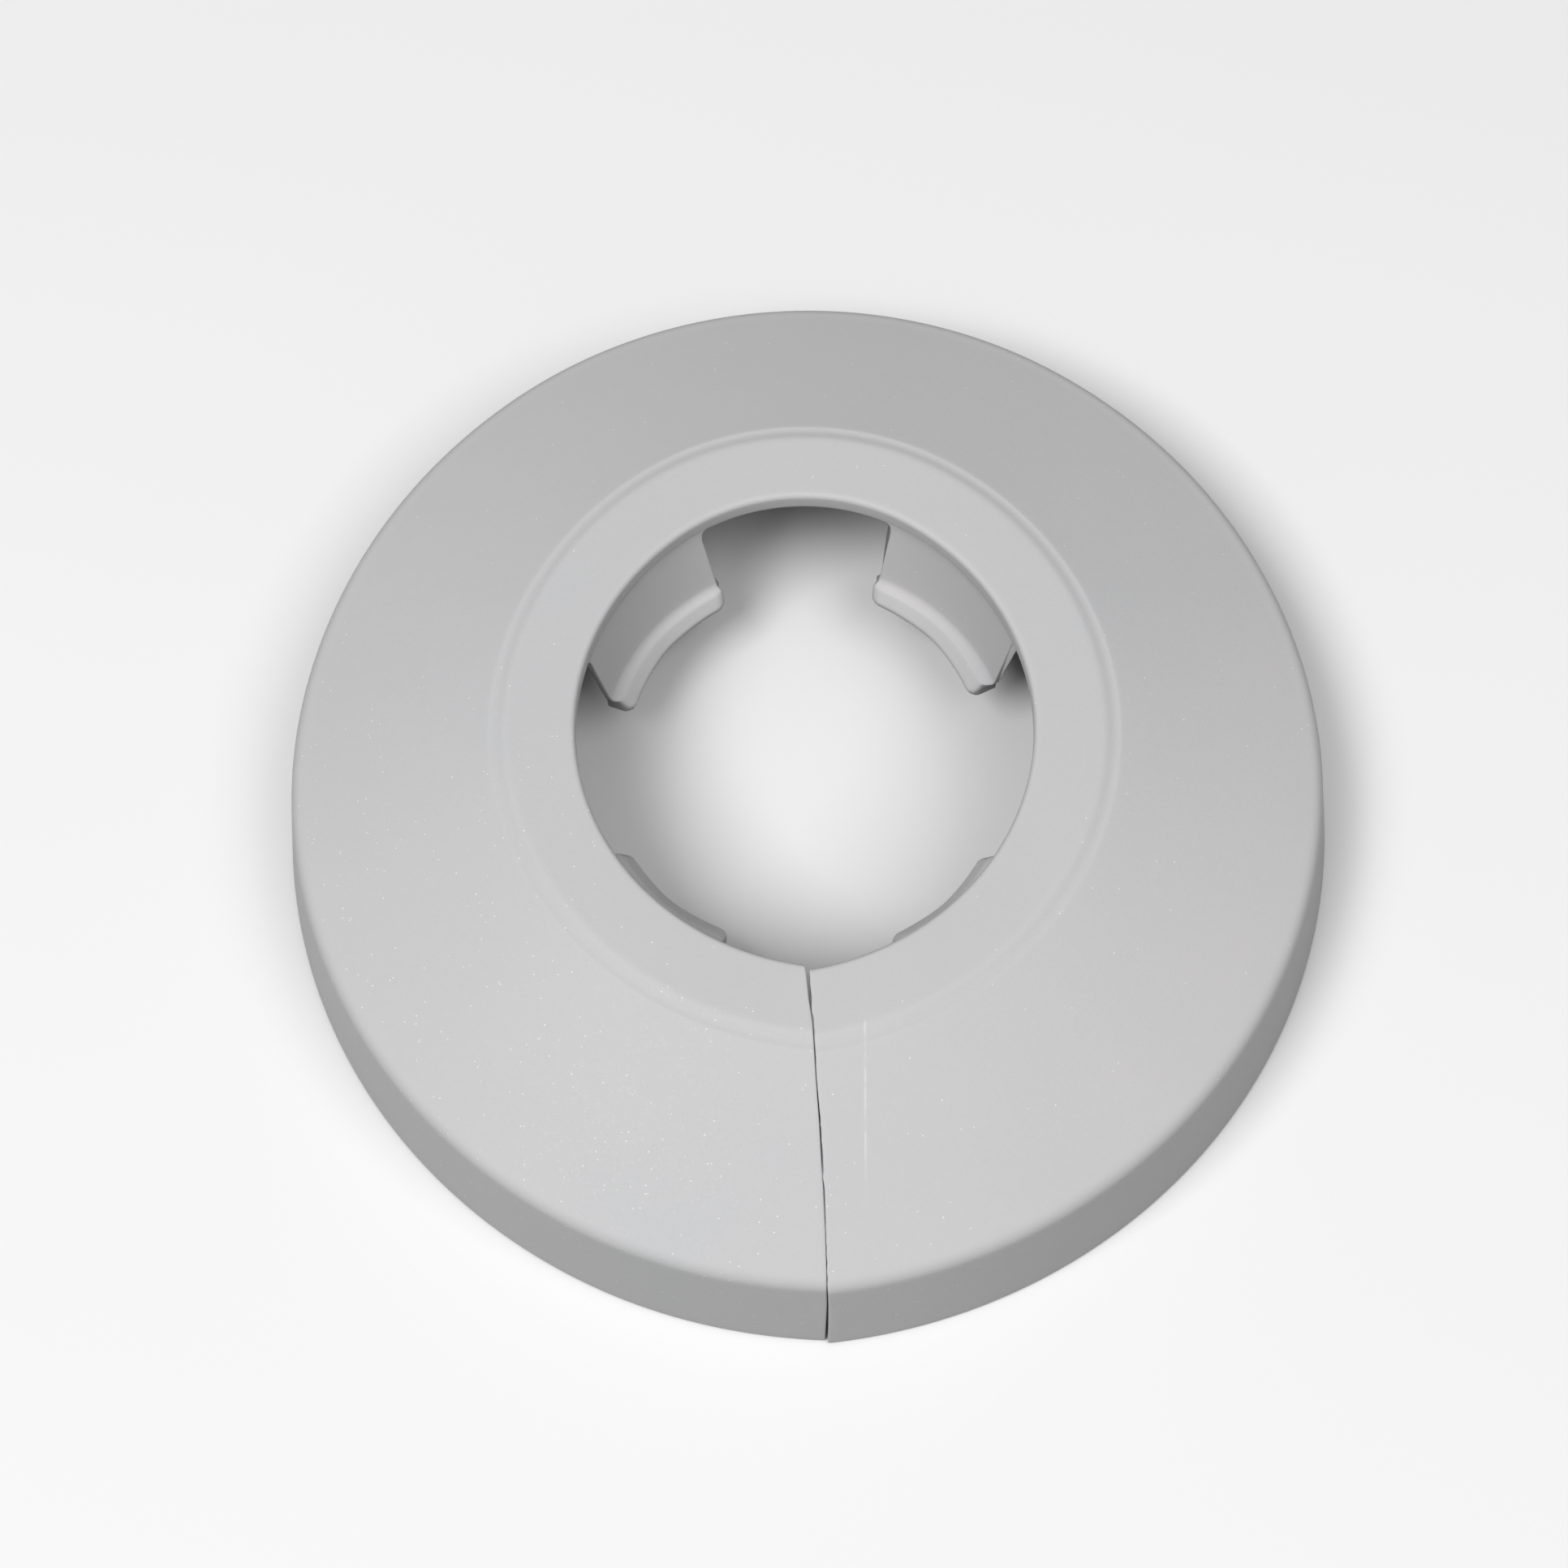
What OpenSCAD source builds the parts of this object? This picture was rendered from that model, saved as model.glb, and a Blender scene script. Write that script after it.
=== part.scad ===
// Split pipe rosette: a cover ring that hides the hole round a heating pipe where it enters a wall or floor.
// It is one flexible moulding, a hollow cone with a flat collar, four inward claws and one slit with a snap.
// The ring is moulded slightly open and drawn shut, so each half keeps its true arc, and the far side,
// across from the slit, takes the bend. Radii of the cover are measured on those moulded arcs.
// The wall lies at z = 0, the pipe runs along Z, and the slit faces -Y.

/* [Cover] */
// Outside diameter of the rim on the moulded arcs
rim_d = 69.4; // [66:0.1:80]
// Height of the flat collar above the wall
cover_h = 12.5; // [11.5:0.1:16]
// Height at which the skirt starts to round over into the cone
skirt_h = 4.8; // [3:0.1:5.5]
// Lean of the skirt from upright, in degrees
skirt_draft = 6; // [1:0.5:10]
// Thickness of the skirt
skirt_wall = 1.4; // [1:0.1:2]
// Thickness of the cone
cone_wall = 1.5; // [1:0.1:1.8]
// Radius of the round edge between the skirt and the cone
edge_r = 1.6; // [1:0.1:2.2]
// Radius of the small round along the outside of the rim's foot
foot_r = 0.2; // [0.1:0.05:0.4]

/* [Collar] */
// Outside diameter of the flat collar on the moulded arcs
collar_d = 41.4; // [39:0.1:46]
// Thickness of the collar plate
collar_t = 1.5; // [1:0.1:2]
// Height of the small step round the collar
step_h = 0.3; // [0.25:0.05:0.6]
// Radius that rounds over the top of that step
step_r = 0.2; // [0.1:0.05:0.22]
// Width of the narrow ledge at the foot of the step
ledge_w = 0.65; // [0.4:0.05:1]
// Diameter of the hole in the collar on the moulded arcs
hole_d = 32.4; // [31:0.1:34]
// Radius that rounds over the top edge of the hole
hole_edge_r = 0.4; // [0.1:0.05:0.6]

/* [Claws] */
// Direction of the middle of each far claw, in degrees from the X axis
far_claw_at = 44.5; // [40:0.5:50]
// Angle that each far claw takes up, in degrees
far_claw_span = 44; // [30:1:48]
// Direction of the middle of each near claw, in degrees from the X axis towards the slit
near_claw_at = 47; // [44:0.5:50]
// Angle that each near claw takes up, in degrees
near_claw_span = 38; // [30:1:44]
// Reach of a claw below the collar plate
claw_h = 6; // [5.5:0.1:7.5]
// Thickness of a claw, measured level
claw_t = 0.5; // [0.4:0.05:0.8]
// Lean of a claw towards the pipe, in degrees
claw_lean = 17.5; // [14:0.5:19]
// Radius of the round where a claw's side meets the collar plate
claw_root_r = 0.5; // [0.2:0.1:1]
// Height of the gripping lip at the end of a claw
lip_h = 1.4; // [1.3:0.1:2]
// How far the lip stands in from the foot of the claw's face
lip_in = 1.4; // [1.2:0.05:1.6]
// Radius of the lip's rounded nose
lip_nose_r = 0.5; // [0.3:0.05:0.6]
// How far the lip is wider than its claw, on each side
lip_over = 0.2; // [0.1:0.05:0.5]
// Radius of the lip's corners, seen from above
lip_corner_r = 0.9; // [0.4:0.1:1.2]
// Radius of the soft groove between the claw's face and the lip
groove_r = 0.8; // [0.4:0.1:1.2]
// Diameter to which the lips are true to the pipe's axis
seat_d = 24; // [23.6:0.1:24.4]
// Distance of the pipe's axis from the middle of the shut ring, away from the slit
seat_y = 0.6; // [0:0.1:1]

/* [Slit] */
// Width of the slit when the ring is shut
slit_w = 0.25; // [0.15:0.05:0.6]
// How far each half's centre is carried past the middle when the ring is drawn shut
shut_shift = 2.55; // [1.5:0.05:3]
// Half of the angle over which the far side takes the bend, in degrees
bend_half = 36; // [32:1:42]

/* [Snap] */
// Gap between the tongue and the half that it slides under
snap_gap = 0.2; // [0.1:0.05:0.4]
// Play between the catch and the tongue's window, on each side
snap_play = 0.3; // [0.15:0.05:0.4]
// Thickness of the tongue
tongue_t = 1.1; // [0.8:0.1:1.4]
// How far the tongue reaches past the slit
tongue_reach = 3.2; // [2.9:0.1:5]
// How far the tongue's root runs back under its own half
tongue_root = 3; // [2:0.1:6]
// Radius at which the tongue starts, on the moulded arcs
tongue_r = 22.6; // [21.8:0.1:23.4]
// Width of the tongue along the slit, seen from above
tongue_w = 7.4; // [5:0.1:8]
// Distance from the slit to the catch
catch_x = 0.5; // [0.3:0.1:0.6]
// Thickness of the catch across the slit
catch_t = 1.2; // [0.8:0.1:1.4]
// Length of the catch along the slit
catch_w = 3; // [2:0.1:3.6]
// Depth of the catch below the half that carries it
catch_h = 1.1; // [0.8:0.1:1.5]

/* [Hidden] */
$fn = 96;

rim_r = rim_d / 2;
collar_r = collar_d / 2;
hole_r = hole_d / 2;
seat_r = seat_d / 2;
plate_z = cover_h - collar_t;
ledge_z = cover_h - step_h;

// Arcs of the shut ring: the two side arcs, and the tighter far arc that joins them without a corner
far_inset = shut_shift / sin(bend_half);
far_y = shut_shift / tan(bend_half);
near_reach = sqrt(pow(rim_r, 2) - pow(shut_shift + slit_w / 2, 2));
far_reach = rim_r - far_inset + far_y;
path_y = (near_reach - far_reach) / 2;

// Slope of the cone, which leaves the ledge and touches the round edge above the skirt
skirt_out = rim_r * cos(skirt_draft);
edge_c = [(skirt_out - edge_r - skirt_h * sin(skirt_draft)) / cos(skirt_draft), skirt_h];
cone_top = [collar_r + ledge_w, ledge_z];
edge_far = norm(cone_top - edge_c);
slope = atan2(cone_top[1] - edge_c[1], edge_c[0] - cone_top[0]) - asin(edge_r / edge_far);
cone_out = cone_top * [sin(slope), cos(slope)];

// A claw's lip: its heights, its radius, the foot of the blade's face, the middle of the rounded nose,
// and the direction in which the lip's upper face runs from that foot to the nose
lip_foot_z = plate_z - claw_h;
lip_top_z = lip_foot_z + lip_h;
lip_r = claw_face(lip_top_z) - lip_in;
blade_foot = [claw_face(lip_top_z), lip_top_z];
nose_c = [lip_r + lip_nose_r, lip_foot_z + lip_nose_r];
nose_far = norm(nose_c - blade_foot);
lip_fall = atan2(nose_c[1] - blade_foot[1], nose_c[0] - blade_foot[0]) - asin(lip_nose_r / nose_far);

// Depths of the tongue's two faces below the outside of the cone, and how deep the snap is rooted in the wall
tongue_top = cone_wall + snap_gap;
tongue_bottom = tongue_top + tongue_t;
bond = 0.3;

// Depth by which the small rounds of a claw run into the faces beside them
graze = 0.005;

// Anything larger than the whole rosette, for cutting
big = rim_d + cover_h;

// Radius of a claw's leaning face at height z
function claw_face(z) = hole_r - (plate_z - z) * tan(claw_lean);

// Height at radius r of a face that lies a given depth under the outside of the cone
function under_cone(r, depth) = (cone_out - depth - r * sin(slope)) / cos(slope);

// Radius at height z of a face that lies a given depth under the outside of the cone
function cone_reach(z, depth) = (cone_out - depth - z * cos(slope)) / sin(slope);

// Centre and radius of the arc that a ring of moulded radius r follows in the direction a from the pipe
function ring_arc(r, a) =
    a > atan2(path_y + r * cos(bend_half) - seat_y, r * sin(bend_half) - shut_shift)
        ? [0, path_y + far_y, r - far_inset]
        : [-shut_shift, path_y, r];

// Distance in the direction a from the pipe's axis to an arc
function reach(arc, a) =
    let (c = [arc[0], arc[1] - seat_y], along = c * [cos(a), sin(a)])
    along + sqrt(pow(along, 2) - c * c + pow(arc[2], 2));

// Arc that bounds the lip in the direction a: its own nose, or the pipe's seat where that lies further out
function nose_arc(a) =
    reach(ring_arc(lip_r, a), a) > seat_r ? ring_arc(lip_r, a) : [0, seat_y, seat_r];

// A section carried round the right half of the shut ring, from the slit over the side arc to the far arc
module half_ring() {
    intersection() {
        translate([-shut_shift, path_y, 0])
            rotate([0, 0, 90 - bend_half]) {
                rotate_extrude(start = bend_half - 180, angle = 180 - bend_half)
                    children();
                translate([far_inset, 0, 0])
                    rotate_extrude(start = 0, angle = bend_half + 2)
                        translate([-far_inset, 0])
                            children();
            }
        translate([0, -big / 2, -big / 2])
            cube(big);
    }
}

// The part of the right half that lies near the slit, between two distances from it
module near_slit(from, to) {
    intersection() {
        half_ring()
            children();
        translate([from, -big, -1])
            cube([to - from, big, big]);
    }
}

// The same things on both halves
module both_halves() {
    children();
    mirror([1, 0, 0])
        children();
}

// Outer form of the cover's section: skirt, round edge, cone, ledge, step and collar
module cover_outside() {
    foot_x = (skirt_out - foot_r - foot_r * sin(skirt_draft)) / cos(skirt_draft);
    polygon([
        [hole_r, 0],
        [foot_x, 0],
        [foot_x, foot_r] + foot_r * [cos(skirt_draft), sin(skirt_draft)],
        edge_c + edge_r * [cos(skirt_draft), sin(skirt_draft)],
        edge_c + edge_r * [sin(slope), cos(slope)],
        cone_top,
        [collar_r, ledge_z],
        [collar_r, cover_h - step_r],
        [collar_r - step_r, cover_h],
        [hole_r + hole_edge_r, cover_h],
        [hole_r, cover_h - hole_edge_r],
    ]);
    translate([foot_x, foot_r])
        circle(foot_r);
    translate(edge_c)
        circle(edge_r);
    translate([collar_r - step_r, cover_h - step_r])
        circle(step_r);
    translate([hole_r + hole_edge_r, cover_h - hole_edge_r])
        circle(hole_edge_r);
}

// Hollow under the cone and the collar
module cover_inside() {
    skirt_in = skirt_out - skirt_wall;
    cone_in = cone_out - cone_wall;
    turn = cos(skirt_draft + slope);
    polygon([
        [0, -1],
        [(skirt_in + sin(skirt_draft)) / cos(skirt_draft), -1],
        [
            (skirt_in * cos(slope) - cone_in * sin(skirt_draft)) / turn,
            (cone_in * cos(skirt_draft) - skirt_in * sin(slope)) / turn,
        ],
        [cone_reach(plate_z, cone_wall), plate_z],
        [0, plate_z],
    ]);
}

// The hollow cone with its collar, cut through once on the near side
module cover() {
    difference() {
        both_halves()
            half_ring()
                difference() {
                    cover_outside();
                    cover_inside();
                }
        translate([-slit_w / 2, -big, -1])
            cube([slit_w, big, big]);
    }
}

// Section of a claw's leaning blade, with the soft groove above its lip
module blade_section() {
    tip_z = lip_top_z - lip_h / 4;
    up = 90 - claw_lean;
    down = lip_fall + 360;
    half = (down - up) / 2;
    touch = groove_r / tan(half);
    centre = blade_foot + (groove_r / sin(half) - graze) * [cos(up + half), sin(up + half)];
    polygon([
        [hole_r, plate_z + collar_t / 2],
        [hole_r, plate_z],
        [claw_face(tip_z), tip_z],
        [claw_face(tip_z) + claw_t / 2, tip_z],
        blade_foot + [claw_t, 0],
        [hole_r + claw_t, plate_z],
        [hole_r + claw_t, plate_z + collar_t / 2],
    ]);
    difference() {
        polygon([
            blade_foot + [claw_t / 2, 0],
            blade_foot + touch * [cos(up), sin(up)] + claw_t / 4 * [1, 0],
            blade_foot + touch * [cos(up), sin(up)],
            centre,
            blade_foot + touch * [cos(down), sin(down)],
            blade_foot + touch * [cos(down), sin(down)] + claw_t / 4 * [0, -1],
        ]);
        translate(centre)
            circle(groove_r);
    }
}

// Section of the lip that grips the pipe
module lip_section() {
    polygon([
        blade_foot,
        nose_c + lip_nose_r * [sin(lip_fall), -cos(lip_fall)],
        nose_c,
        [nose_c[0], lip_foot_z],
        [claw_face(lip_foot_z) + claw_t, lip_foot_z],
        blade_foot + [claw_t, 0],
    ]);
    translate(nose_c)
        circle(lip_nose_r);
}

// Plan of a claw about its own middle line, with its sides moved out by a given amount
module claw_plan(span, over) {
    along = [cos(span / 2), sin(span / 2)];
    out = over * [-along[1], along[0]];
    near = along + out;
    far = rim_r * along + out;
    polygon([
        near,
        far,
        [far[0], -far[1]],
        [near[0], -near[1]],
    ]);
}

// Round in the corner between the collar plate and the side of a claw that lies along X
module root_round() {
    rotate([90, 0, 90])
        linear_extrude(rim_r)
            difference() {
                translate([-claw_root_r, plate_z - claw_root_r])
                    square([2 * claw_root_r, claw_root_r + collar_t / 2]);
                translate([claw_root_r - graze, plate_z - claw_root_r + graze])
                    circle(claw_root_r);
            }
}

// What rounds off the corner between the lip's nose and its side, seen along that side, which lies in the
// direction a from the pipe: way is 1 at the side that lies further round and -1 at the other
module corner_cut(a, way) {
    arc = nose_arc(a);
    c = [
        arc[0] * cos(a) + (arc[1] - seat_y) * sin(a),
        way * ((arc[1] - seat_y) * cos(a) - arc[0] * sin(a)),
    ];
    y = lip_over - lip_corner_r + graze;
    far = arc[2] + lip_corner_r - graze;
    x = c[0] + sqrt(pow(far, 2) - pow(y - c[1], 2));
    touch = c + ([x, y] - c) * (arc[2] - graze) / far;
    difference() {
        polygon([
            [x, y],
            [x, lip_over + 1],
            [touch[0] - 3, lip_over + 1],
            [touch[0] - 3, touch[1]],
            touch,
        ]);
        translate([x, y])
            circle(lip_corner_r);
    }
}

// Puts a thing that lies along X on the side in the direction a, with its +Y away from the claw
module on_side(a, way) {
    rotate([0, 0, a])
        mirror([0, way < 0 ? 1 : 0, 0])
            children();
}

// One claw of the right half, its middle in the direction a from the pipe
module claw(a, span) {
    intersection() {
        half_ring()
            blade_section();
        translate([0, seat_y, 0]) {
            rotate([0, 0, a])
                linear_extrude(cover_h)
                    claw_plan(span, 0);
            for (way = [1, -1])
                on_side(a + way * span / 2, way)
                    root_round();
        }
    }
    intersection() {
        half_ring()
            lip_section();
        translate([0, seat_y, 0])
            linear_extrude(lip_top_z)
                difference() {
                    rotate(a)
                        claw_plan(span, lip_over);
                    for (way = [1, -1])
                        on_side(a + way * span / 2, way)
                            corner_cut(a + way * span / 2, way);
                }
    }
}

// All the claws, with their lips true to the pipe
module claws() {
    difference() {
        both_halves() {
            claw(far_claw_at, far_claw_span);
            claw(-near_claw_at, near_claw_span);
        }
        translate([0, seat_y, lip_foot_z - 1])
            cylinder(h = lip_h + 2, r = seat_r);
    }
}

// Section that follows the cone between two depths below its outside, over the width of the tongue
module tongue_section(top, bottom) {
    far = tongue_r + tongue_w;
    polygon([
        [tongue_r, under_cone(tongue_r, bottom)],
        [far, under_cone(far, bottom)],
        [far, under_cone(far, top)],
        [tongue_r, under_cone(tongue_r, top)],
    ]);
}

// Puts the snap's own parts under the middle of the tongue, with Z square to the cone
module at_snap() {
    mid = tongue_r + tongue_w / 2;
    x = catch_x + catch_t / 2;
    translate([0, path_y - sqrt(pow(mid, 2) - pow(x + shut_shift, 2)), under_cone(mid, cone_wall)])
        rotate([slope, 0, 0])
            children();
}

// Tongue of the left half, which slides under the right half and has a window for the catch
module tongue() {
    difference() {
        union() {
            near_slit(0, tongue_reach)
                tongue_section(tongue_top, tongue_bottom);
            mirror([1, 0, 0]) {
                near_slit(0, slit_w / 2)
                    tongue_section(tongue_top, tongue_bottom);
                near_slit(slit_w / 2, tongue_root)
                    tongue_section(cone_wall - bond, tongue_bottom);
            }
        }
        at_snap()
            translate([catch_x - snap_play, -catch_w / 2 - snap_play, -big])
                cube([catch_t + 2 * snap_play, catch_w + 2 * snap_play, 2 * big]);
    }
}

// Catch of the right half: its ramp faces the coming tongue, its upright face holds the tongue's end
module catch() {
    at_snap()
        rotate([90, 0, 0])
            linear_extrude(catch_w, center = true)
                polygon([
                    [catch_x, bond],
                    [catch_x, 0],
                    [catch_x + catch_t * 0.6, -catch_h],
                    [catch_x + catch_t, -catch_h],
                    [catch_x + catch_t, bond],
                ]);
}

module rosette() {
    color([0.86, 0.86, 0.85]) {
        cover();
        claws();
        tongue();
        catch();
    }
}

rosette();
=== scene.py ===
import math

import bmesh
import bpy
import numpy as np
from mathutils import Matrix, Vector


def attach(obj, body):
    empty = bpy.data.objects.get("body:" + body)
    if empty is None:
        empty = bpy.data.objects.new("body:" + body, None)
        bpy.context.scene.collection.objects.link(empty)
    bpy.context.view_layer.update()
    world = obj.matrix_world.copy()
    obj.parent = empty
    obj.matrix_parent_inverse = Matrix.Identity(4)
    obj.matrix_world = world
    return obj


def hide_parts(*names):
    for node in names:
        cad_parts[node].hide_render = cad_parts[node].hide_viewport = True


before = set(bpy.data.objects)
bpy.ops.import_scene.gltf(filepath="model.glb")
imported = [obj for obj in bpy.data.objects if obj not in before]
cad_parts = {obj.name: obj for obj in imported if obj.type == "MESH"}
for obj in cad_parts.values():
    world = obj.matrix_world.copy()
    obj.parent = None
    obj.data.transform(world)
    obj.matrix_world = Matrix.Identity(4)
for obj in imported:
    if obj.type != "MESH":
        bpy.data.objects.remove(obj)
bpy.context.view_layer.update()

# Split pipe rosette, one flexible white moulding. Lengths are in millimetres until a mesh is made.
# The wall lies at z = 0, the pipe runs along Z, and the slit faces -Y.
MM = 0.001

# Cover: radii are those of the moulding, before it was drawn shut
RIM_R = 34.7
COVER_H = 12.5
# The skirt is 1.2 mm taller here than in the solids, and its round edge is sharper, as the photo shows it
SKIRT_H = 6.45
SKIRT_DRAFT = math.radians(7)
SKIRT_WALL = 1.4
CONE_WALL = 1.5
EDGE_R = 1.1
COLLAR_R = 20.7
COLLAR_T = 1.5
STEP_H = 0.3
STEP_W = 0.6
STEP_SOFT_R = 1.0
LEDGE_W = 0.65
LEDGE_R = 0.45
HOLE_R = 16.2
HOLE_TOP_R = 0.35
HOLE_FOOT_R = 0.38
PLATE_Z = COVER_H - COLLAR_T
LEDGE_Z = COVER_H - STEP_H

# Arcs of the shut ring
SHUT_SHIFT = 2.55
BEND_HALF = math.radians(36)
FAR_INSET = SHUT_SHIFT / math.sin(BEND_HALF)
FAR_Y = SHUT_SHIFT / math.tan(BEND_HALF)
SLIT_W = 0.25
NEAR_REACH = math.sqrt(RIM_R ** 2 - (SHUT_SHIFT + SLIT_W / 2) ** 2)
PATH_Y = (NEAR_REACH - (RIM_R - FAR_INSET + FAR_Y)) / 2
ARCS_MEET = math.pi / 2 - BEND_HALF
# How far the skirt's upper edge sinks on the far side, which takes the bend, and over which Y that comes on
FAR_DROP = 0.65
DROP_STARTS = -8
DROP_ENDS = 14

# Slit: distance from the pipe's axis down the cone, which goes on with half of the way down below SLIT_TURN_Z,
# sideways drift of the cut, and its width
SLIT_TURN_Z = 4.8
SLIT_LINE = [
    (15.5, -0.52, 0.22),
    (17.9, -0.41, 0.17),
    (19.2, -0.31, 0.09),
    (22.1, -0.28, 0.06),
    (24.8, -0.18, 0.08),
    (26.6, -0.15, 0.1),
    (28.2, -0.13, 0.06),
    (30.5, -0.14, 0.03),
    (32.6, -0.18, 0.03),
    (33.6, -0.2, 0.08),
    (36.5, -0.33, 0.18),
]
SLIT_EDGE_R = 0.09
# How far each half's end is set back at the slit, and how far from it that fades
RIGHT_END_BACK = 0.02
LEFT_END_BACK = 0.14
END_FADE = 10

# Claws, seen from the pipe's axis. half is 1 for the right. The other values are given at both sides of the
# claw: the side's direction in degrees from the X axis, the distance of the blade's foot and of the lip's nose
# from the axis, how far the lip stands out sideways, and how far the side draws in on its way up to the root.
PIPE_Y = 0.6
CLAWS = {
    "far_right": dict(
        half=1, sides=(21.9, 67.7), foot=(12.65, 13.45), nose=(11.15, 12.3), over=(-0.38, 0.25), draw=(0, 0.32),
    ),
    "far_left": dict(
        half=-1, sides=(22.2, 68.4), foot=(12.65, 13.5), nose=(11.25, 12.4), over=(-0.22, 0.2), draw=(0, 0.34),
    ),
    "near_right": dict(
        half=1, sides=(-68.3, -31.8), foot=(13.5, 13.3), nose=(12.3, 12.1), over=(0.1, 0.08), draw=(0.1, 0),
    ),
    "near_left": dict(
        half=-1, sides=(-64.6, -25.6), foot=(13.15, 13.2), nose=(11.75, 11.95), over=(0.1, 0.08), draw=(0.1, 0),
    ),
}
CLAW_T = 0.45
CLAW_TOP_Z = PLATE_Z + 0.6
CLAW_TOP_R = 0.15
# The claw widens by CLAW_ROOT_W on each side over the last CLAW_ROOT_H below CLAW_ROOT_Z
CLAW_ROOT_W = 0.45
CLAW_ROOT_H = 1.0
CLAW_ROOT_Z = PLATE_Z + 0.25
LIP_FOOT_Z = 5.0
GROOVE_Z = 6.4
LIP_TOP_Z = 6.3
LIP_IN = 1.25
LIP_CORNER_R = 0.7
LIP_KINK = 0.08

# Snap under the slit
TONGUE_TOP = CONE_WALL + 0.2
TONGUE_BOTTOM = TONGUE_TOP + 1.1
TONGUE_REACH = 3.2
TONGUE_ROOT = 3.0
TONGUE_R = 22.6
TONGUE_W = 7.4
CATCH_X = 0.5
CATCH_T = 1.2
CATCH_W = 3.0
CATCH_H = 1.1
SNAP_PLAY = 0.3
BOND = 0.3

random = np.random.RandomState(11)


# Section of the cover: the cone's slope, and heights under its outside
SKIRT_OUT = RIM_R * math.cos(SKIRT_DRAFT)
EDGE_C = np.array([
    (SKIRT_OUT - EDGE_R - SKIRT_H * math.sin(SKIRT_DRAFT)) / math.cos(SKIRT_DRAFT),
    SKIRT_H,
])
CONE_TOP = np.array([COLLAR_R + LEDGE_W, LEDGE_Z])
SLOPE = math.atan2(CONE_TOP[1] - EDGE_C[1], EDGE_C[0] - CONE_TOP[0]) - math.asin(
    EDGE_R / np.linalg.norm(CONE_TOP - EDGE_C)
)
CONE_OUT = CONE_TOP @ [math.sin(SLOPE), math.cos(SLOPE)]


def under_cone(r, depth):
    return (CONE_OUT - depth - r * math.sin(SLOPE)) / math.cos(SLOPE)


def cone_reach(z, depth):
    return (CONE_OUT - depth - z * math.cos(SLOPE)) / math.sin(SLOPE)


def skirt_at(z, depth):
    return (SKIRT_OUT - depth - z * math.sin(SKIRT_DRAFT)) / math.cos(SKIRT_DRAFT)


def skirt_meets_cone(depth_skirt, depth_cone):
    turn = math.cos(SKIRT_DRAFT + SLOPE)
    a, b = SKIRT_OUT - depth_skirt, CONE_OUT - depth_cone
    return (
        (a * math.cos(SLOPE) - b * math.sin(SKIRT_DRAFT)) / turn,
        (b * math.cos(SKIRT_DRAFT) - a * math.sin(SLOPE)) / turn,
    )


# A closed outline with each corner (x, y, radius, spacing of the run that follows) rounded
def rounded(corners, arc_step=math.radians(12)):
    n = len(corners)
    starts, arcs = [], []
    for i in range(n):
        p = np.array(corners[i][:2], float)
        before = np.array(corners[i - 1][:2], float) - p
        after = np.array(corners[(i + 1) % n][:2], float) - p
        u, v = before / np.linalg.norm(before), after / np.linalg.norm(after)
        opening = math.acos(np.clip(u @ v, -1, 1))
        radius = corners[i][2]
        reach = radius / math.tan(opening / 2)
        centre = p + (u + v) / np.linalg.norm(u + v) * radius / math.sin(opening / 2)
        first = p + u * reach - centre
        turn = math.pi - opening
        way = 1 if u[0] * v[1] - u[1] * v[0] < 0 else -1
        count = max(2, int(math.ceil(turn / arc_step)))
        arc = []
        for k in range(count + 1):
            angle = way * turn * k / count
            c, s = math.cos(angle), math.sin(angle)
            arc.append(centre + [c * first[0] - s * first[1], s * first[0] + c * first[1]])
        arcs.append(arc)
    outline = []
    for i in range(n):
        outline.extend(arcs[i])
        start, end = arcs[i][-1], arcs[(i + 1) % n][0]
        count = max(1, int(np.linalg.norm(end - start) / corners[i][3]))
        for k in range(1, count):
            outline.append(start + (end - start) * k / count)
    return np.array(outline)


# The direction out of a closed outline that runs anticlockwise, at each of its points
def outward(outline):
    along = np.roll(outline, -1, axis=0) - np.roll(outline, 1, axis=0)
    along /= np.linalg.norm(along, axis=1)[:, None]
    return np.stack([along[:, 1], -along[:, 0]], axis=1)


# How far a rounded end of the given radius has drawn in at a distance from that end
def drawn_in(distance, radius):
    left = np.clip(radius - distance, 0, radius)
    return radius - np.sqrt(radius ** 2 - left ** 2)


END_STEPS = np.array([0, 0.008, 0.025, 0.05, 0.09])


# Mesh object of a closed tube from rings of points, each ring a loop of the same length
def tube(name, rings):
    rings = np.asarray(rings)
    count, size = rings.shape[:2]
    faces = []
    for i in range(count - 1):
        for j in range(size):
            k = (j + 1) % size
            faces.append((i * size + j, i * size + k, (i + 1) * size + k, (i + 1) * size + j))
    faces.append(tuple(range(size - 1, -1, -1)))
    faces.append(tuple((count - 1) * size + j for j in range(size)))
    mesh = bpy.data.meshes.new(name)
    mesh.from_pydata((rings.reshape(-1, 3) * MM).tolist(), [], faces)
    mesh.validate()
    piece = bpy.data.objects.new(name, mesh)
    bpy.context.scene.collection.objects.link(piece)
    face_outwards(piece)
    return piece


def face_outwards(piece):
    work = bmesh.new()
    work.from_mesh(piece.data)
    bmesh.ops.recalc_face_normals(work, faces=work.faces)
    work.to_mesh(piece.data)
    work.free()


def slit_at(y, z):
    down = -y + np.maximum(0, SLIT_TURN_Z - z) * 0.5
    line = np.array(SLIT_LINE)
    return np.interp(down, line[:, 0], line[:, 1]), np.interp(down, line[:, 0], line[:, 2]), down


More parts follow.
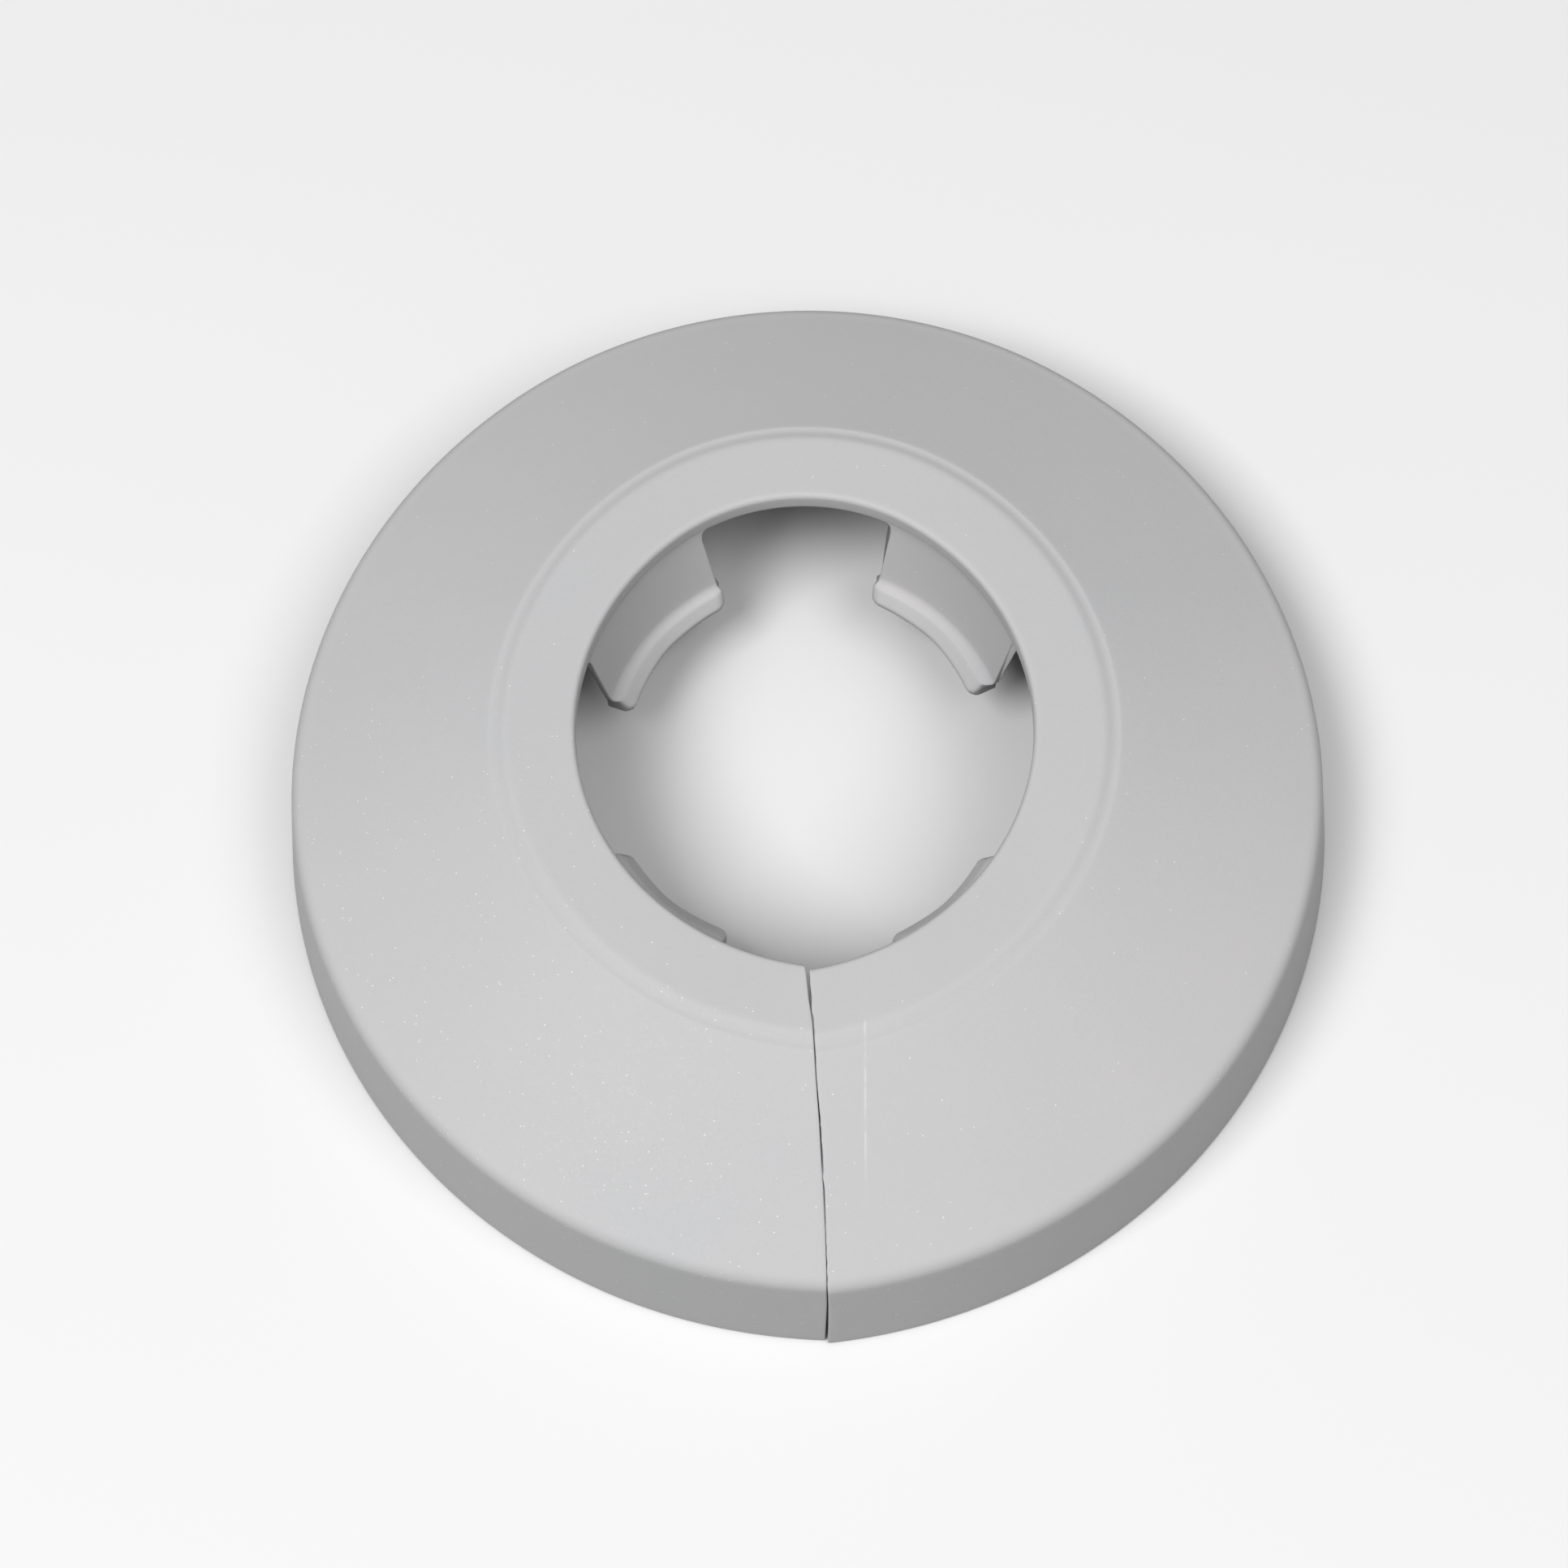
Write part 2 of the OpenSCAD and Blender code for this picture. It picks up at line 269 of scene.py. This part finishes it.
# Torn unevenness of the right half's edge, with two burrs that lean into the slit
def torn(down):
    at = np.arange(14, 38, 0.28)
    rough = np.interp(down, at, random_edge[: len(at)]) * 0.016
    for place, size, width in [(18.3, 0.05, 0.35), (27.4, 0.045, 0.2), (20.4, 0.03, 0.25)]:
        rough = rough - size * np.exp(-((down - place) / width) ** 2)
    return rough


random_edge = random.normal(size=120)


def cover_outline():
    inner_x, inner_z = skirt_meets_cone(SKIRT_WALL, CONE_WALL)
    outer_x, outer_z = skirt_meets_cone(0, 0)
    return rounded([
        (skirt_at(0, SKIRT_WALL), 0, 0.2, 0.6),
        (skirt_at(0, 0), 0, 0.25, 0.3),
        (outer_x, outer_z, EDGE_R, 0.22),
        (CONE_TOP[0], CONE_TOP[1], LEDGE_R, 0.1),
        (COLLAR_R + STEP_W / 2, LEDGE_Z, STEP_SOFT_R, 0.1),
        (COLLAR_R - STEP_W / 2, COVER_H, STEP_SOFT_R, 0.22),
        (HOLE_R, COVER_H, HOLE_TOP_R, 0.25),
        (HOLE_R, PLATE_Z, HOLE_FOOT_R, 0.6),
        (cone_reach(PLATE_Z, CONE_WALL), PLATE_Z, 0.5, 0.8),
        (inner_x, inner_z, 0.8, 0.6),
    ])


# Rings of one half of the cover, from its end at the slit to the middle of the far side. way is 1 for the right.
def half_rings(outline, normals, way):
    r, z = outline[:, 0], outline[:, 1]
    y_end = PATH_Y - np.sqrt(r ** 2 - SHUT_SHIFT ** 2)
    drift, gap, down = slit_at(y_end, z)
    x_end = way * drift + gap / 2
    if way > 0:
        x_end = x_end + torn(down)
    side_columns = np.linspace(0, 1, 100) ** 1.15
    rings = []
    for distance in END_STEPS:
        moved = outline - normals * drawn_in(distance, SLIT_EDGE_R)
        first = -np.arccos((x_end + SHUT_SHIFT) / r)
        rings.append(side_point(moved, first + distance / r))
    start = -np.arccos((x_end + SHUT_SHIFT) / r) + 0.2 / r
    for share in side_columns:
        rings.append(side_point(outline, start + (ARCS_MEET - start) * share))
    for angle in np.linspace(ARCS_MEET, math.pi / 2, 24)[1:]:
        rings.append(far_point(outline, angle))
    rings = np.array(rings)
    rings[..., 0] *= way
    near = np.exp(-(rings[..., 0] / END_FADE) ** 2) * (rings[..., 1] < 0)
    rings[..., 1] += (RIGHT_END_BACK if way > 0 else LEFT_END_BACK) * near
    come_on = np.clip((rings[..., 1] - DROP_STARTS) / (DROP_ENDS - DROP_STARTS), 0, 1)
    down_cone = np.clip((r - CONE_TOP[0]) / (EDGE_C[0] - CONE_TOP[0]), 0, 1) * np.clip(z / SKIRT_H, 0, 1)
    rings[..., 2] -= FAR_DROP * down_cone * come_on ** 2 * (3 - 2 * come_on)
    return rings


def side_point(outline, angle):
    r, z = outline[:, 0], outline[:, 1]
    return np.stack([-SHUT_SHIFT + r * np.cos(angle), PATH_Y + r * np.sin(angle), z], axis=-1)


def far_point(outline, angle):
    r, z = outline[:, 0] - FAR_INSET, outline[:, 1]
    return np.stack([r * math.cos(angle), PATH_Y + FAR_Y + r * math.sin(angle), z], axis=-1)


def make_cover():
    outline = cover_outline()
    normals = outward(outline)
    right = half_rings(outline, normals, 1)
    left = half_rings(outline, normals, -1)
    return tube("cover", np.concatenate([right, left[-2::-1]]))


# Distance from the pipe's axis to the moulded radius r in the direction a, on the right half
def ring_reach(r, a):
    c, s = np.cos(a), np.sin(a)
    meet = np.arctan2(PATH_Y + r * math.cos(BEND_HALF) - PIPE_Y, r * math.sin(BEND_HALF) - SHUT_SHIFT)
    far = a > meet
    centre_x = np.where(far, 0, -SHUT_SHIFT)
    centre_y = np.where(far, PATH_Y + FAR_Y, PATH_Y) - PIPE_Y
    radius = np.where(far, r - FAR_INSET, r)
    along = centre_x * c + centre_y * s
    return along + np.sqrt(along ** 2 - centre_x ** 2 - centre_y ** 2 + radius ** 2)


# Section of a claw: distance out from its inner face, and height. The lip stands LIP_IN in from that face.
def claw_outline():
    return rounded([
        (CLAW_T, CLAW_TOP_Z, CLAW_TOP_R, 0.3),
        (0, CLAW_TOP_Z, CLAW_TOP_R, 0.2),
        (0, GROOVE_Z, 0.35, 0.15),
        (-0.45 * LIP_IN, GROOVE_Z - 0.12, 0.35, 0.12),
        (-LIP_IN, LIP_FOOT_Z + 0.55, 0.35, 0.12),
        (-0.85 * LIP_IN, LIP_FOOT_Z, 0.25, 0.2),
        (CLAW_T, LIP_FOOT_Z, 0.15, 0.3),
    ])


# How far the blade has leant in at a height: 0 at the root, 1 at the foot, with a soft start
def leant(z):
    share = (PLATE_Z - z) / (PLATE_Z - GROOVE_Z)
    return np.minimum(1, (share + np.sqrt(share ** 2 + 0.01)) / 2)


def make_claw(name, half, sides, foot, nose, over, draw):
    outline = claw_outline()
    normals = outward(outline)
    z = outline[:, 1]
    first, last = np.radians(sides)
    foot_r = np.mean(foot)
    width = (last - first) * foot_r
    inner = np.linspace(0.1, width - 0.1, 41)
    places = np.concatenate([END_STEPS, inner, (width - END_STEPS)[::-1]])
    on_lip = 1 / (1 + np.exp((z - LIP_TOP_Z) / 0.05))
    rise = np.clip((z - GROOVE_Z) / (PLATE_Z - GROOVE_Z), 0, 1)
    flare = drawn_in((CLAW_ROOT_Z - z) * CLAW_ROOT_W / CLAW_ROOT_H, CLAW_ROOT_W)
    wider = [over[i] * on_lip - draw[i] * rise + flare for i in (0, 1)]
    rings = []
    for place in places:
        share = place / width
        to_end = min(place, width - place)
        section = outline - normals * drawn_in(to_end, SLIT_EDGE_R)
        angle = first + (place + share * wider[1] - (1 - share) * wider[0]) / foot_r
        root = ring_reach(HOLE_R + 0.06, angle)
        foot_here = foot[0] + (foot[1] - foot[0]) * share
        nose_here = nose[0] + (nose[1] - nose[0]) * share + drawn_in(to_end, LIP_CORNER_R)
        nose_here += LIP_KINK * math.exp(-((place - width / 2) / 1.6) ** 2)
        face = root + (foot_here - root) * leant(z)
        off = section[:, 0]
        r = face + np.where(off < 0, off * (foot_here - nose_here) / LIP_IN, off)
        rings.append(np.stack([half * r * np.cos(angle), PIPE_Y + r * np.sin(angle), section[:, 1]], axis=-1))
    return tube(name, rings)


# Place at a distance x from the slit and the moulded radius r, near the slit
def near_slit(x, r, z):
    return [x, PATH_Y - math.sqrt(r ** 2 - (abs(x) + SHUT_SHIFT) ** 2), z]


def make_tongue():
    columns = [
        (-TONGUE_ROOT, CONE_WALL - BOND),
        (-TONGUE_ROOT / 2, CONE_WALL - BOND),
        (-0.5, CONE_WALL - BOND),
        (-0.35, TONGUE_TOP),
        (0, TONGUE_TOP),
        (TONGUE_REACH / 2, TONGUE_TOP),
        (TONGUE_REACH - 0.15, TONGUE_TOP),
        (TONGUE_REACH, TONGUE_TOP + 0.15),
    ]
    far = TONGUE_R + TONGUE_W
    rings = []
    for x, top in columns:
        end = 0.15 if x == TONGUE_REACH else 0
        outline = rounded([
            (TONGUE_R + end, under_cone(TONGUE_R + end, TONGUE_BOTTOM - end), 0.12, 0.6),
            (far - end, under_cone(far - end, TONGUE_BOTTOM - end), 0.12, 0.6),
            (far - end, under_cone(far - end, top), 0.12, 0.6),
            (TONGUE_R + end, under_cone(TONGUE_R + end, top), 0.12, 0.6),
        ], math.radians(30))
        rings.append(outline)
    size = min(len(o) for o in rings)
    same = [resampled(o, size) for o in rings]
    return tube("tongue", [
        [near_slit(x, p[0], p[1]) for p in o] for (x, _), o in zip(columns, same)
    ])


# A closed outline with the given count of points, evenly spread along it
def resampled(outline, count):
    closed = np.vstack([outline, outline[:1]])
    along = np.concatenate([[0], np.cumsum(np.linalg.norm(np.diff(closed, axis=0), axis=1))])
    at = np.linspace(0, along[-1], count, endpoint=False)
    return np.stack([np.interp(at, along, closed[:, i]) for i in range(2)], axis=1)


def at_snap():
    mid = TONGUE_R + TONGUE_W / 2
    x = CATCH_X + CATCH_T / 2
    place = Vector(near_slit(x, mid, under_cone(mid, CONE_WALL)))
    place.x = 0
    return Matrix.Translation(place) @ Matrix.Rotation(SLOPE, 4, "X")


def prism(name, profile, half_length, place):
    ends = []
    for y in (-half_length, half_length):
        ends.append([place @ Vector((x, y, z)) for x, z in profile])
    return tube(name, [[list(p) for p in end] for end in ends])


def make_catch():
    profile = [
        (CATCH_X, BOND),
        (CATCH_X, 0),
        (CATCH_X + CATCH_T * 0.6, -CATCH_H),
        (CATCH_X + CATCH_T, -CATCH_H),
        (CATCH_X + CATCH_T, BOND),
    ]
    return prism("catch", profile, CATCH_W / 2, at_snap())


def make_window():
    low, high = CATCH_X - SNAP_PLAY, CATCH_X + CATCH_T + SNAP_PLAY
    profile = [(low, -4), (high, -4), (high, 0), (low, 0)]
    return prism("window", profile, CATCH_W / 2 + SNAP_PLAY, at_snap())


def combine(piece, other, operation):
    step = piece.modifiers.new(operation, "BOOLEAN")
    step.operation = operation
    step.solver = "EXACT"
    step.object = other
    depsgraph = bpy.context.evaluated_depsgraph_get()
    mesh = bpy.data.meshes.new_from_object(piece.evaluated_get(depsgraph))
    piece.modifiers.clear()
    piece.data = mesh
    bpy.data.objects.remove(other)


# Adds other pieces, which don't touch each other, to the mesh of the first
def gather(pieces):
    work = bmesh.new()
    for piece in pieces:
        work.from_mesh(piece.data)
    work.to_mesh(pieces[0].data)
    work.free()
    for piece in pieces[1:]:
        bpy.data.objects.remove(piece)
    return pieces[0]


def make_rosette():
    tongue = make_tongue()
    combine(tongue, make_window(), "DIFFERENCE")
    claws = [make_claw(name, **claw) for name, claw in CLAWS.items()]
    rosette = make_cover()
    combine(rosette, gather(claws + [tongue, make_catch()]), "UNION")
    rosette.name = "rosette_moulding"
    rosette.data.name = "rosette_moulding"
    for polygon in rosette.data.polygons:
        polygon.use_smooth = True
    rosette.data.set_sharp_from_angle(angle=math.radians(38))
    return rosette


class Nodes:
    """Adds shader nodes to a material's tree."""

    def __init__(self, material):
        self.tree = material.node_tree

    def add(self, kind, settings=(), **inputs):
        node = self.tree.nodes.new(kind)
        for key, value in dict(settings).items():
            setattr(node, key, value)
        for key, value in inputs.items():
            socket = node.inputs[int(key[1:]) if key[0] == "i" and key[1:].isdigit() else key]
            if isinstance(value, bpy.types.NodeSocket):
                self.tree.links.new(value, socket)
            else:
                socket.default_value = value
        return node


PLASTIC_WARM = (0.664, 0.653, 0.66, 1)
PLASTIC_COOL = (0.634, 0.637, 0.646, 1)
LINE_TONE = (0.75, 0.742, 0.748, 1)
# Tone of the painted glints, grains of painted highlight
PAINTED_GLINT_TONE = (0.88, 0.88, 0.89, 1)

# Light line of the snap on the cone, in metres: where it starts below the collar, where it begins to fade and
# where it ends, its X at the start and how fast that changes, and its half width with a soft edge
LINE_START = 0.019
LINE_FADE = 0.025
LINE_END = 0.03
LINE_X = 0.00265
LINE_LEAN = 0.044
LINE_CORE = 0.00003
LINE_EDGE = 0.00011


# Mask of the light line that the tongue of the snap leaves on the cone, to the right of the slit
def snap_line(nodes, place):
    part = nodes.add("ShaderNodeSeparateXYZ", i0=place)
    down = nodes.add("ShaderNodeMath", {"operation": "MULTIPLY"}, i0=part.outputs["Y"], i1=-1.0)
    below = nodes.add("ShaderNodeMath", {"operation": "SUBTRACT"}, i0=down.outputs["Value"], i1=LINE_START)
    lean = nodes.add("ShaderNodeMath", {"operation": "MULTIPLY_ADD"}, i0=below.outputs["Value"], i1=LINE_LEAN,
                     i2=part.outputs["X"])
    off = nodes.add("ShaderNodeMath", {"operation": "SUBTRACT"}, i0=lean.outputs["Value"], i1=LINE_X)
    away = nodes.add("ShaderNodeMath", {"operation": "ABSOLUTE"}, i0=off.outputs["Value"])
    across = smooth_step(nodes, away.outputs["Value"], LINE_EDGE, LINE_CORE)
    start = smooth_step(nodes, down.outputs["Value"], LINE_START, LINE_START + 0.0003)
    fade = smooth_step(nodes, down.outputs["Value"], LINE_END, LINE_FADE)
    broken = nodes.add("ShaderNodeTexNoise", i0=place, Scale=1100.0, Detail=1.0)
    dashes = nodes.add("ShaderNodeMapRange", Value=broken.outputs["Fac"])
    dashes.inputs["From Min"].default_value = 0.4
    dashes.inputs["From Max"].default_value = 0.6
    dashes.inputs["To Min"].default_value = 0.3
    mask = across
    for share in (start, fade, dashes.outputs["Result"]):
        mask = nodes.add("ShaderNodeMath", {"operation": "MULTIPLY"}, i0=mask, i1=share).outputs["Value"]
    return mask


# 0 at the value zero_at and 1 at the value one_at, with a soft run between
def smooth_step(nodes, value, zero_at, one_at):
    step = nodes.add("ShaderNodeMapRange", {"interpolation_type": "SMOOTHSTEP"}, Value=value)
    low, high = min(zero_at, one_at), max(zero_at, one_at)
    step.inputs["From Min"].default_value = low
    step.inputs["From Max"].default_value = high
    step.inputs["To Min"].default_value = 0.0 if zero_at < one_at else 1.0
    step.inputs["To Max"].default_value = 1.0 if zero_at < one_at else 0.0
    return step.outputs["Result"]


# Mask of painted glints: single bright grains of painted highlight, most of them on the left of the slit
def painted_glints(nodes, place, cells, pick):
    part = nodes.add("ShaderNodeSeparateXYZ", i0=place)
    left = nodes.add("ShaderNodeMath", {"operation": "MULTIPLY"}, i0=part.outputs["X"], i1=-0.8)
    side = nodes.add("ShaderNodeMath", {"operation": "MULTIPLY_ADD"}, i0=part.outputs["Y"], i1=-0.6,
                     i2=left.outputs["Value"])
    many = nodes.add("ShaderNodeMapRange", Value=side.outputs["Value"])
    many.inputs["From Min"].default_value = 0.01
    many.inputs["From Max"].default_value = 0.026
    many.inputs["To Min"].default_value = 0.9985
    many.inputs["To Max"].default_value = 0.989
    rare = nodes.add("ShaderNodeMath", {"operation": "GREATER_THAN"}, i0=pick.outputs["Green"],
                     i1=many.outputs["Result"])
    small = nodes.add("ShaderNodeMath", {"operation": "LESS_THAN"}, i0=cells.outputs["Distance"], i1=0.42)
    return nodes.add("ShaderNodeMath", {"operation": "MULTIPLY"}, i0=rare.outputs["Value"],
                     i1=small.outputs["Value"]).outputs["Value"]


def tone_mix(nodes, share, tone, other):
    mix = nodes.add("ShaderNodeMixRGB", Fac=share, Color1=tone, Color2=other)
    return mix.outputs["Color"]


def plastic_material():
    material = bpy.data.materials.new("white_polypropylene")
    material.use_nodes = True
    nodes = Nodes(material)
    shader = material.node_tree.nodes["Principled BSDF"]
    place = nodes.add("ShaderNodeTexCoord").outputs["Object"]
    specks = nodes.add("ShaderNodeTexVoronoi", i0=place, Scale=8500.0)
    pick = nodes.add("ShaderNodeSeparateColor", i0=specks.outputs["Color"])

    # Slow unevenness of tone, from the flow of the plastic in the mould, with the snap's line and painted glints
    flow = nodes.add("ShaderNodeTexNoise", i0=place, Scale=60.0, Detail=3.0, Roughness=0.5)
    tone = nodes.add("ShaderNodeValToRGB", i0=flow.outputs["Fac"])
    tone.color_ramp.elements[0].position = 0.3
    tone.color_ramp.elements[0].color = PLASTIC_COOL
    tone.color_ramp.elements[1].position = 0.7
    tone.color_ramp.elements[1].color = PLASTIC_WARM
    lined = tone_mix(nodes, snap_line(nodes, place), tone.outputs["Color"], LINE_TONE)
    # Painted highlight: bright grains of glint laid into the base colour
    with_painted_glints = tone_mix(nodes, painted_glints(nodes, place, specks, pick), lined, PAINTED_GLINT_TONE)
    material.node_tree.links.new(with_painted_glints, shader.inputs["Base Color"])

    # Fine grain of the mould's surface
    grain = nodes.add("ShaderNodeTexNoise", i0=place, Scale=5200.0, Detail=2.0, Roughness=0.6)
    soft = nodes.add("ShaderNodeTexNoise", i0=place, Scale=420.0, Detail=2.0, Roughness=0.5)
    fine = nodes.add("ShaderNodeBump", Strength=0.5, Distance=0.000025, Height=grain.outputs["Fac"])
    low = nodes.add("ShaderNodeBump", Strength=0.25, Distance=0.00005, Height=soft.outputs["Fac"],
                    Normal=fine.outputs["Normal"])
    material.node_tree.links.new(low.outputs["Normal"], shader.inputs["Normal"])

    # Gloss that varies a little over the surface, with tiny shiny specks
    few = nodes.add("ShaderNodeMapRange", i0=pick.outputs["Red"])
    for index, value in enumerate((0.93, 1.0, 0.58, 0.3), start=1):
        few.inputs[index].default_value = value
    material.node_tree.links.new(few.outputs["Result"], shader.inputs["Roughness"])
    shader.inputs["IOR"].default_value = 1.49
    shader.inputs["Specular IOR Level"].default_value = 0.2
    shader.inputs["Subsurface Weight"].default_value = 0.3
    shader.inputs["Subsurface Radius"].default_value = (1.0, 0.95, 0.9)
    shader.inputs["Subsurface Scale"].default_value = 0.0008
    return material


# Tone of the floor as it is seen, and the tone in which it throws light back at the rosette
FLOOR_SEEN = (1.0, 1.0, 1.0, 1)
FLOOR_LIT = (0.1, 0.1, 0.1, 1)


def floor_material():
    material = bpy.data.materials.new("pale_floor")
    material.use_nodes = True
    shader = material.node_tree.nodes["Principled BSDF"]
    nodes = Nodes(material)
    path = nodes.add("ShaderNodeLightPath")
    seen = nodes.add("ShaderNodeMath", {"operation": "MAXIMUM"},
                     i0=path.outputs["Is Camera Ray"], i1=path.outputs["Is Glossy Ray"])
    through = nodes.add("ShaderNodeMath", {"operation": "MAXIMUM"},
                        i0=seen.outputs["Value"], i1=path.outputs["Is Transmission Ray"])
    tone = nodes.add("ShaderNodeMix", {"data_type": "RGBA"})
    tone.inputs[6].default_value = FLOOR_LIT
    tone.inputs[7].default_value = FLOOR_SEEN
    material.node_tree.links.new(through.outputs["Value"], tone.inputs[0])
    material.node_tree.links.new(tone.outputs[2], shader.inputs["Base Color"])
    shader.inputs["Roughness"].default_value = 0.8
    shader.inputs["Specular IOR Level"].default_value = 0.1
    return material


def make_floor():
    half = 0.3
    mesh = bpy.data.meshes.new("floor")
    corners = [(-half, -half), (half, -half), (half, half), (-half, half)]
    mesh.from_pydata([(x, y, -0.00002) for x, y in corners], [], [(0, 1, 2, 3)])
    floor = bpy.data.objects.new("floor", mesh)
    bpy.context.scene.collection.objects.link(floor)
    mesh.materials.append(floor_material())


def soft_lamp(name, place, width, height, watts):
    light = bpy.data.lights.new(name, "AREA")
    light.shape = "RECTANGLE"
    light.size, light.size_y, light.energy = width, height, watts
    lamp = bpy.data.objects.new(name, light)
    bpy.context.scene.collection.objects.link(lamp)
    lamp.location = place
    lamp.rotation_euler = (-Vector(place)).to_track_quat("-Z", "Y").to_euler()


# Place at a distance from the origin, in a direction round from -Y towards +X and up, in degrees
def around(distance, azimuth, elevation):
    a, e = math.radians(azimuth), math.radians(elevation)
    return (
        distance * math.sin(a) * math.cos(e),
        -distance * math.cos(a) * math.cos(e),
        distance * math.sin(e),
    )


def make_light():
    soft_lamp("key", around(0.8, -52, 58), 0.36, 0.36, 3.55)
    soft_lamp("fill", around(0.8, 48, 58), 0.46, 0.46, 2.05)
    world = bpy.data.worlds.new("studio")
    bpy.context.scene.world = world
    world.use_nodes = True
    tree = world.node_tree
    background = tree.nodes["Background"]
    path = tree.nodes.new("ShaderNodeLightPath")
    seen = tree.nodes.new("ShaderNodeMath")
    seen.operation = "MAXIMUM"
    tree.links.new(path.outputs["Is Camera Ray"], seen.inputs[0])
    tree.links.new(path.outputs["Is Transmission Ray"], seen.inputs[1])
    strength = tree.nodes.new("ShaderNodeMapRange")
    tree.links.new(seen.outputs["Value"], strength.inputs["Value"])
    strength.inputs["To Min"].default_value = 0.2
    strength.inputs["To Max"].default_value = 1.0
    tree.links.new(strength.outputs["Result"], background.inputs["Strength"])
    background.inputs["Color"].default_value = (1, 1, 1, 1)


# Camera at the photograph's angle: it looks along +Y and down, from above the slit
CAMERA_ELEVATION = math.radians(63.82)
CAMERA_DISTANCE = 234.67
CAMERA_TARGET = (-1.371, 2.31, 0)
CAMERA_ROLL = math.radians(-2.55)
FOCAL_LENGTH = 85.98
SENSOR = 36


def make_camera():
    sin_e, cos_e = math.sin(CAMERA_ELEVATION), math.cos(CAMERA_ELEVATION)
    right0, up0 = Vector((1, 0, 0)), Vector((0, sin_e, cos_e))
    cos_r, sin_r = math.cos(CAMERA_ROLL), math.sin(CAMERA_ROLL)
    right = right0 * cos_r + up0 * sin_r
    up = up0 * cos_r - right0 * sin_r
    back = Vector((0, -cos_e, sin_e))
    data = bpy.data.cameras.new("camera")
    data.sensor_width, data.lens = SENSOR, FOCAL_LENGTH
    data.clip_start, data.clip_end = 0.01, 10
    camera = bpy.data.objects.new("camera", data)
    bpy.context.scene.collection.objects.link(camera)
    place = (Vector(CAMERA_TARGET) + back * CAMERA_DISTANCE) * MM
    axes = Matrix((right, up, back)).transposed().to_4x4()
    camera.matrix_world = Matrix.Translation(place) @ axes
    bpy.context.scene.camera = camera


rosette = make_rosette()
rosette.data.materials.clear()
rosette.data.materials.append(plastic_material())
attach(rosette, "root")
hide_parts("rosette")

make_floor()
make_light()
make_camera()
bpy.context.scene.view_settings.view_transform = "Standard"
